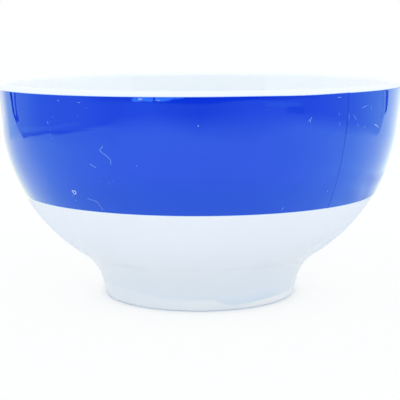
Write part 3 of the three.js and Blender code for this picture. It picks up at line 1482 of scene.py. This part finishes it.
@dataclass(frozen=True)
class BrightGround:
    """The bright ground that the band mirrors, open where the white wall mirrors the floor."""

    front: Colour = (1.02, 1.13, 1.2, 1.0)
    left: Colour = (1.0, 1.45, 1.05, 1.0)
    right: Colour = (1.1, 1.65, 1.33, 1.0)
    rear_left: Colour = (1.68, 1.8, 1.12, 1.0)
    rear_right: Colour = (1.6, 1.82, 1.32, 1.0)
    left_end: Colour = (2.05, 2.1, 1.25, 1.0)
    behind_tint: Colour = (0.88, 0.83, 1.06, 1.0)
    near_side_tint: Colour = (0.84, 0.93, 0.7, 1.0)
    near_front_tint: Colour = (0.83, 0.95, 0.4, 1.0)
    on_left: Fade = Fade(Measure.AZIMUTH, -40.0, 40.0, 1.0, 0.0)
    aside: Fade = Fade(Measure.AHEAD, -0.05, 1.0, 1.0, 0.0)
    left_turn: Fade = Fade(Measure.FAR, 105.0, 215.0, -5.0, 9.0)
    right_turn: Fade = Fade(Measure.FAR, 240.0, 330.0, 0.0, 14.0)
    rear_share: Edge = ((87, 0), (94, 0.22), (101, 0.38), (111, 0.46), (120, 0.8), (130, 1))
    at_left_end: Shade = both(
        Fade(Measure.FAR, 390.0, 470.0), Fade(Measure.AZIMUTH, -138.0, -132.0, 1.0, 0.0)
    )
    behind: Pair = (139.0, 158.0)
    near: Shade = both(
        Fade(Measure.FAR, 78.0, 118.0, 1.0, 0.0), Fade(Measure.AHEAD, -0.3, 0.5, 0.25, 1.0)
    )
    near_front: Fade = Fade(Measure.AHEAD, 0.2, 0.9)
    reach: float = 2500.0
    white_reach: Edge = (
        (74, 2500), (74, 215), (86, 145), (88, 110), (89.6, 75), (89.6, 58), (88.7, 47), (87, 32),
        (83.7, 16), (80.3, 3), (74.7, -12), (66, -28), (52.4, -44), (31, -58.7), (0, -65.6),
    )

    def light(self, ground: Ground) -> Socket:
        """Turn the light from the front to the sides and the back, and dim it by the bowl.

        Args:
            ground: Where the points of the card lie.

        Returns:
            The colour of the light.
        """
        bench = ground.bench
        on_left = self.on_left(ground)
        side = bench.blend(on_left, self.right, self.left)
        rear = bench.blend(on_left, self.rear_right, self.rear_left)
        light = bench.blend(self.aside(ground), self.front, side)
        turn = bench.remap(on_left, 0.0, 1.0, self.right_turn(ground), self.left_turn(ground))
        off_front = bench.maths("ABSOLUTE", ground.azimuth)
        rear_share = bench.follow(bench.minus(off_front, turn), self.rear_share)
        light = bench.blend(rear_share, light, rear)
        light = bench.blend(self.at_left_end(ground), light, self.left_end)
        behind = bench.remap(off_front, *self.behind)
        light = bench.blend(behind, light, self.behind_tint, "MULTIPLY")
        tint = bench.blend(self.near_front(ground), self.near_side_tint, self.near_front_tint)
        return bench.blend(self.near(ground), light, tint, "MULTIPLY")

    def card(self) -> Card:
        """Give the card.

        Returns:
            The card, whose edge runs round the outside and then round the opening.
        """
        far = self.reach
        outside = ((-far, far), (-far, -far), (far, -far), (far, far))
        left_reach = tuple((-x, y) for x, y in reversed(self.white_reach[:-1]))
        edge = (*outside, *self.white_reach, *left_reach)
        return Card("ground_card", Level.GROUND, edge, self.light)


@dataclass(frozen=True)
class DimRoom:
    """The dim room in front, darker at its far end, with dark upright lines at both sides.

    Curves are by azimuth in degrees, and lengths are in millimetres.
    """

    level: Edge = (
        (-125, 0.82), (-103, 0.86), (-90, 0.7), (-61, 0.7), (-40, 0.47), (-25, 0.56), (-12, 0.4),
        (0, 0.3), (12, 0.4), (25, 0.56), (40, 0.63), (54, 0.49), (72, 0.7), (88, 0.89),
        (104, 1.11), (125, 1.1),
    )
    start: Edge = (
        (-125, 267), (-108, 267), (-101, 269), (-90, 259), (-82, 254), (-74, 241), (-60, 240),
        (-46, 236), (-38, 218), (-20, 220), (0, 207), (25, 202), (50, 234), (80, 238),
        (103, 264), (125, 264),
    )
    stop: Edge = (
        (-125, 270), (-108, 270), (-101, 272), (-90, 262), (-82, 258), (-74, 249), (-60, 247),
        (-46, 243), (-38, 257), (0, 248), (25, 261), (50, 269), (80, 281), (103, 299), (125, 299),
    )
    end: Edge = (
        (-60, 286), (-49, 279), (-33, 269), (-16, 260), (-4, 258), (5, 258), (24, 267),
        (42, 275), (56, 290),
    )
    end_width: float = 4.0
    dimming: Edge = (
        (-60, 0), (-49, 0.3), (-30, 0.5), (-12, 0.85), (25, 0.88), (40, 0.58), (56, 0.3), (64, 0),
    )
    redness: Fade = Fade(Measure.AHEAD, 0.0, 0.6, 0.57, 0.78)
    blue_levels: Pair = (0.3, 0.6)
    blueness: float = 0.9
    shade_width: float = 35.0
    shade_share: float = 0.22
    shade_side: Fade = Fade(Measure.AZIMUTH, -44.0, -36.0, 1.0, 0.0)
    left_line: Edge = (
        (-1265, 805), (-448, 289), (-390, 249), (-369, 229), (-340, 204), (-331, 195),
        (-322, 183), (-314, 167), (-306, 157),
    )
    left_border: Edge = (
        (-300, 151), (-291, 138), (-277, 109), (-265, 95), (-253, 80), (-225, -20), (-150, -130),
        (0, -180),
    )
    right_border: Edge = (
        (150, -130), (225, -20), (258, 89), (268, 109), (277, 124), (297, 152), (307, 164),
        (318, 181),
    )
    right_line: Edge = (
        (325, 198), (329, 209), (339, 223), (352, 233), (365, 241), (395, 255), (1265, 822),
    )
    front: Edge = ((1500, -1500), (-1500, -1500))
    left_line_back: Edge = (
        (-315, 153), (-323, 163), (-331, 175), (-349, 189), (-369, 204), (-389, 219),
        (-654, 399), (-1265, 760),
    )
    left_inner: Edge = (
        (-1265, 628), (-388, 192), (-368, 187), (-349, 175), (-331, 164), (-315, 155),
    )
    left_inner_back: Edge = (
        (-307, 145), (-308, 128), (-314, 132), (-323, 141), (-340, 155), (-368, 171),
        (-387, 175), (-1265, 592),
    )
    right_line_back: Edge = (
        (326, 188), (341, 201), (353, 206), (366, 211), (395, 224), (1265, 720),
    )
    right_inner: Edge = (
        (318, 161), (329, 170), (341, 179), (353, 183), (366, 186), (394, 193), (1265, 622),
    )
    right_inner_back: Edge = (
        (1265, 590), (393, 179), (365, 172), (341, 167), (329, 159), (307, 134),
    )
    fringe: Edge = (
        (-1265, 805), (-390, 249), (-340, 204), (-300, 150), (-262, 85), (-190, 160), (-950, 950),
    )
    fringe_cover: Shade = both(
        Fade(Measure.AZIMUTH, -134.0, -127.0, 0.0, 0.9), Fade(Measure.FAR, 265.0, 330.0)
    )
    fringe_light: Colour = (0.85, 1.3, 0.93, 1.0)
    inner_cover: float = 0.85
    faint_cover: float = 0.25

    def light(self, ground: Ground) -> Socket:
        """Follow the level round the room, and dim its far end.

        Args:
            ground: Where the points of the card lie.

        Returns:
            The colour of the light.
        """
        bench = ground.bench
        past = bench.minus(ground.far, bench.follow(ground.azimuth, self.end))
        dimming = bench.follow(ground.azimuth, self.dimming)
        rest = bench.minus(1.0, bench.times(bench.remap(past, 0.0, self.end_width), dimming))
        level = bench.times(bench.follow(ground.azimuth, self.level), rest)
        red = bench.times(level, self.redness(ground))
        blue = bench.remap(level, *self.blue_levels, 0.0, self.blueness)
        return bench.add("ShaderNodeCombineColor", {0: red, 1: level, 2: blue}).outputs[0]

    def cover(self, ground: Ground) -> Socket:
        """Fade the room in, slowly ahead and sharply at the sides.

        Args:
            ground: Where the points of the card lie.

        Returns:
            The share of the ground that the room covers.
        """
        bench = ground.bench
        start = bench.follow(ground.azimuth, self.start)
        room = bench.remap(ground.far, start, bench.follow(ground.azimuth, self.stop))
        before = bench.minus(ground.far, start)
        shade = bench.remap(before, -self.shade_width, 0.0, 0.0, self.shade_share)
        return bench.maths("MAXIMUM", room, bench.times(shade, self.shade_side(ground)))

    def cards(self, dark: Shade, gleam: Shade) -> tuple[Card, ...]:
        """Give the room, its dark lines, and the gleams between them.

        Args:
            dark: Light of the lines.
            gleam: Light of the gleams.

        Returns:
            The cards.
        """
        border = (*self.left_line, *self.left_border, *self.right_border, *self.right_line)
        left_line = (*self.left_line, (-300, 150), *self.left_line_back)
        left_inner = self.left_inner + self.left_inner_back
        right_line = self.right_line[::-1] + self.right_line_back
        right_inner = self.right_inner + self.right_inner_back
        left_gleam = self.left_line_back[1:] + self.left_inner
        right_gleam = self.right_line_back[1:] + self.right_inner[::-1]
        inner, faint = even(self.inner_cover), even(self.faint_cover)
        fringe_light = even(self.fringe_light)
        return (
            Card("room_card", Level.ROOM, border + self.front, self.light, self.cover),
            Card("left_fringe", Level.FRINGE, self.fringe, fringe_light, self.fringe_cover),
            Card("left_outer_line", Level.LINE, left_line, dark),
            Card("left_inner_line", Level.LINE, left_inner, dark, inner),
            Card("right_line", Level.LINE, right_line, dark, inner),
            Card("right_inner_line", Level.LINE, right_inner, dark, faint),
            Card("left_gleam", Level.LINE, left_gleam, gleam),
            Card("right_gleam", Level.LINE, right_gleam, gleam),
        )


@dataclass(frozen=True)
class RoomPatches:
    """The dark edge and gleam along the room's left end, and the marks at its right."""

    near_edge: Edge = (
        (-280, 101), (-276, 52), (-269, 12), (-263, -21), (-251, -52), (-236, -81), (-222, -107),
        (-207, -128), (-188, -146), (-203, -127), (-218, -105), (-231, -79), (-243, -50),
        (-259, -20), (-264, 13), (-269, 51), (-264, 72), (-256, 81),
    )
    near_gleam: Edge = (
        (-292, 122), (-292, 89), (-289, 52), (-282, 12), (-271, -22), (-260, -54), (-247, -85),
        (-232, -112), (-213, -133), (-228, -110), (-242, -83), (-255, -53), (-265, -21),
        (-273, 12), (-280, 52), (-283, 88),
    )
    right_patch: Edge = (
        (183, -196), (175, -188), (192, -174), (208, -157), (217, -164), (201, -181),
    )
    right_streak: Edge = (
        (140, -229), (138, -224), (178, -197), (213, -172), (217, -176), (183, -204),
    )
    corner_outside: Edge = ((100, -44), (135, -20), (135, 215))
    corner_light: Colour = (0.02, 0.08, 0.5, 1.0)
    corner_behind: Shade = both(
        Fade(Measure.Y, 20.0, 45.0, 0.08, 0.28), Fade(Measure.X, 112.0, 130.0, 1.0, 0.0)
    )
    corner_close: Shade = both(
        Fade(Measure.X, 84.0, 102.0, 0.25, 0.0), Fade(Measure.Y, -25.0, 5.0)
    )
    dark_cover: float = 0.35
    gleam_cover: float = 0.4

    def corner_cover(self, ground: Ground) -> Socket:
        """Fade the dim corner out away from the bowl and to the front."""
        return ground.bench.maths("ADD", self.corner_behind(ground), self.corner_close(ground))

    def cards(self, dark: Shade, gleam: Shade, bowl_side: Edge) -> tuple[Card, ...]:
        """Give the patches.

        Args:
            dark: Light of the dark ones.
            gleam: Light of the gleaming ones.
            bowl_side: Edge of the dim corner on the bowl's side.

        Returns:
            The cards.
        """
        dim, faint = even(self.dark_cover), even(self.gleam_cover)
        corner = bowl_side + self.corner_outside
        corner_light = even(self.corner_light)
        return (
            Card("near_edge", Level.PATCH, self.near_edge, dark, dim),
            Card("near_gleam", Level.PATCH, self.near_gleam, gleam, faint),
            Card("right_patch", Level.PATCH, self.right_patch, dark, dim),
            Card("right_streak", Level.PATCH, self.right_streak, gleam, faint),
            Card("right_corner", Level.PATCH, corner, corner_light, self.corner_cover),
        )


@dataclass(frozen=True)
class Window:
    """The two bright panes of a window, and the lamps behind them."""

    pane_light: Colour = (0.85, 2.0, 4.2, 1.0)
    lamp_light: Colour = (6.5, 4.6, 3.6, 1.0)
    wide_pane: Edge = (
        (-146, -230), (-140, -231), (-131, -235), (-121, -240), (-112, -243), (-101, -246),
        (-99, -248), (-101, -252), (-136, -329), (-269, -618), (-245, -387), (-167, -271),
        (-146, -234),
    )
    narrow_pane: Edge = (
        (-96, -249), (-85, -252), (-73, -255), (-64, -259), (-59, -261), (-50, -264), (-40, -266),
        (-39, -308), (-70, -538), (-269, -660), (-131, -336), (-96, -253),
    )
    wide_lamp: Edge = (
        (-160, -282), (-154, -293), (-123.5, -242), (-126, -239.5), (-132, -237.5),
    )
    narrow_lamp: Edge = ((-93, -252), (-90, -253), (-85, -254), (-84, -252), (-89, -251))

    def cards(self) -> tuple[Card, ...]:
        """Give the panes and the lamps.

        Returns:
            The cards.
        """
        pane, lamp = even(self.pane_light), even(self.lamp_light)
        return (
            Card("wide_pane", Level.PANE, self.wide_pane, pane),
            Card("narrow_pane", Level.PANE, self.narrow_pane, pane),
            Card("wide_lamp", Level.LAMP, self.wide_lamp, lamp),
            Card("narrow_lamp", Level.LAMP, self.narrow_lamp, lamp),
        )


@dataclass(frozen=True)
class Studio:
    """White ground and even white light, with cards that the gloss of the glaze mirrors."""

    floor: WhiteFloor = WhiteFloor()
    ground: BrightGround = BrightGround()
    room: DimRoom = DimRoom()
    patches: RoomPatches = RoomPatches()
    window: Window = Window()
    daylight: float = 1.09
    dark: Colour = (0.02, 0.08, 0.02, 1.0)
    gleam: Colour = (0.68, 1.15, 0.95, 1.0)
    toe_edge: Edge = (
        (-24, -18), (24, -18), (24, -20), (18, -26), (10, -31), (0, -33), (-10, -31), (-18, -26),
        (-24, -20),
    )
    toe_light: Colour = (1.1, 1.1, 1.1, 1.0)
    toe_cover: Shade = both(
        Fade(Measure.FAR, 29.0, 30.4, 1.0, 0.0), Fade(Measure.AHEAD, 0.72, 0.84)
    )
    shade_edge: Edge = ((-92, -40), (92, -40), (92, 420), (-92, 420))
    shade_light: Colour = (0.77, 0.85, 0.93, 1.0)
    shade_cover: Shade = both(Fade(Measure.Y, -40.0, 15.0), Fade(Measure.FAR, 38.0, 52.0))
    wall_edge: Edge = ((-1500, 0), (1500, 0), (1500, 900), (-1500, 900))
    wall_light: Colour = (0.17, 0.2, 0.2, 1.0)
    wall_place: tuple[float, float, float] = (0.0, -1.5, 0.001)

    def build(self) -> None:
        """Light the scene, lay the floor, and lay the cards from the floor up."""
        self.surround()
        self.floor.lay()
        dark, gleam = even(self.dark), even(self.gleam)
        toe, shade = even(self.toe_light), even(self.shade_light)
        bowl_side = self.ground.white_reach[1:13]
        cards = (
            Card("toe_card", Level.TOE, self.toe_edge, toe, self.toe_cover),
            Card("shade_card", Level.SHADE, self.shade_edge, shade, self.shade_cover),
            self.ground.card(),
            *self.room.cards(dark, gleam),
            *self.patches.cards(dark, gleam, bowl_side),
            *self.window.cards(),
        )
        for card in cards:
            card.lay()
        self.wall()

    def surround(self) -> None:
        """Light the scene from a plain white surround that is seen as white."""
        world = bpy.data.worlds.new("white_surround")
        world.use_nodes = True
        bpy.context.scene.world = world
        bench = Bench(world.node_tree)
        path = bench.add("ShaderNodeLightPath").outputs
        seen = bench.maths("MAXIMUM", path["Is Camera Ray"], path["Is Glossy Ray"])
        seen = bench.maths("MAXIMUM", seen, path["Is Transmission Ray"])
        strength = bench.maths("MULTIPLY_ADD", seen, 1.0 - self.daylight, self.daylight)
        light = bench.add("ShaderNodeBackground", {"Color": WHITE, "Strength": strength})
        bench.add("ShaderNodeOutputWorld", {"Surface": light.outputs[0]})

    def wall(self) -> None:
        """Stand the dim far wall of the room, seen only in the gloss of the lip."""
        wall = Card("wall_card", Level.WALL, self.wall_edge, even(self.wall_light)).lay()
        upright = Matrix.Rotation(QUARTER_TURN, 4, "X")
        wall.data.transform(Matrix.Translation(self.wall_place) @ upright)


@dataclass(frozen=True)
class PhotoCamera:
    """The camera, where the photograph was taken from."""

    distance: float = 349.65 * MM
    height: float = 80.69 * MM
    sideways: float = 0.15 * MM
    pitch: float = math.radians(8.62)
    roll: float = math.radians(-0.26)
    lens: float = 104.85
    sensor: float = 36.0
    near_clip: float = 10.0 * MM

    def place(self) -> None:
        """Make the camera and look through it."""
        data = bpy.data.cameras.new("photo_camera")
        data.lens = self.lens
        data.sensor_width = self.sensor
        data.clip_start = self.near_clip
        camera = bpy.data.objects.new("photo_camera", data)
        bpy.context.scene.collection.objects.link(camera)
        stand = Matrix.Translation((self.sideways, -self.distance, self.height))
        tilt = Matrix.Rotation(QUARTER_TURN - self.pitch, 4, "X")
        camera.matrix_world = stand @ tilt @ Matrix.Rotation(self.roll, 4, "Z")
        bpy.context.scene.camera = camera


def main() -> None:
    """Build the camera, the studio and every piece of the bowl, in order."""
    logging.basicConfig(level=logging.INFO, format="%(name)s: %(message)s")
    bpy.context.scene.view_settings.view_transform = "Standard"
    shape = BowlShape()
    wheel = Wheel()
    PhotoCamera().place()
    Studio().build()
    ClayBody(shape, wheel).build()
    GlazeCoats(shape, wheel).build()
    band = BlueBand(shape, wheel)
    band.build()
    BandWear(band).build()


if __name__ == "__main__":
    main()
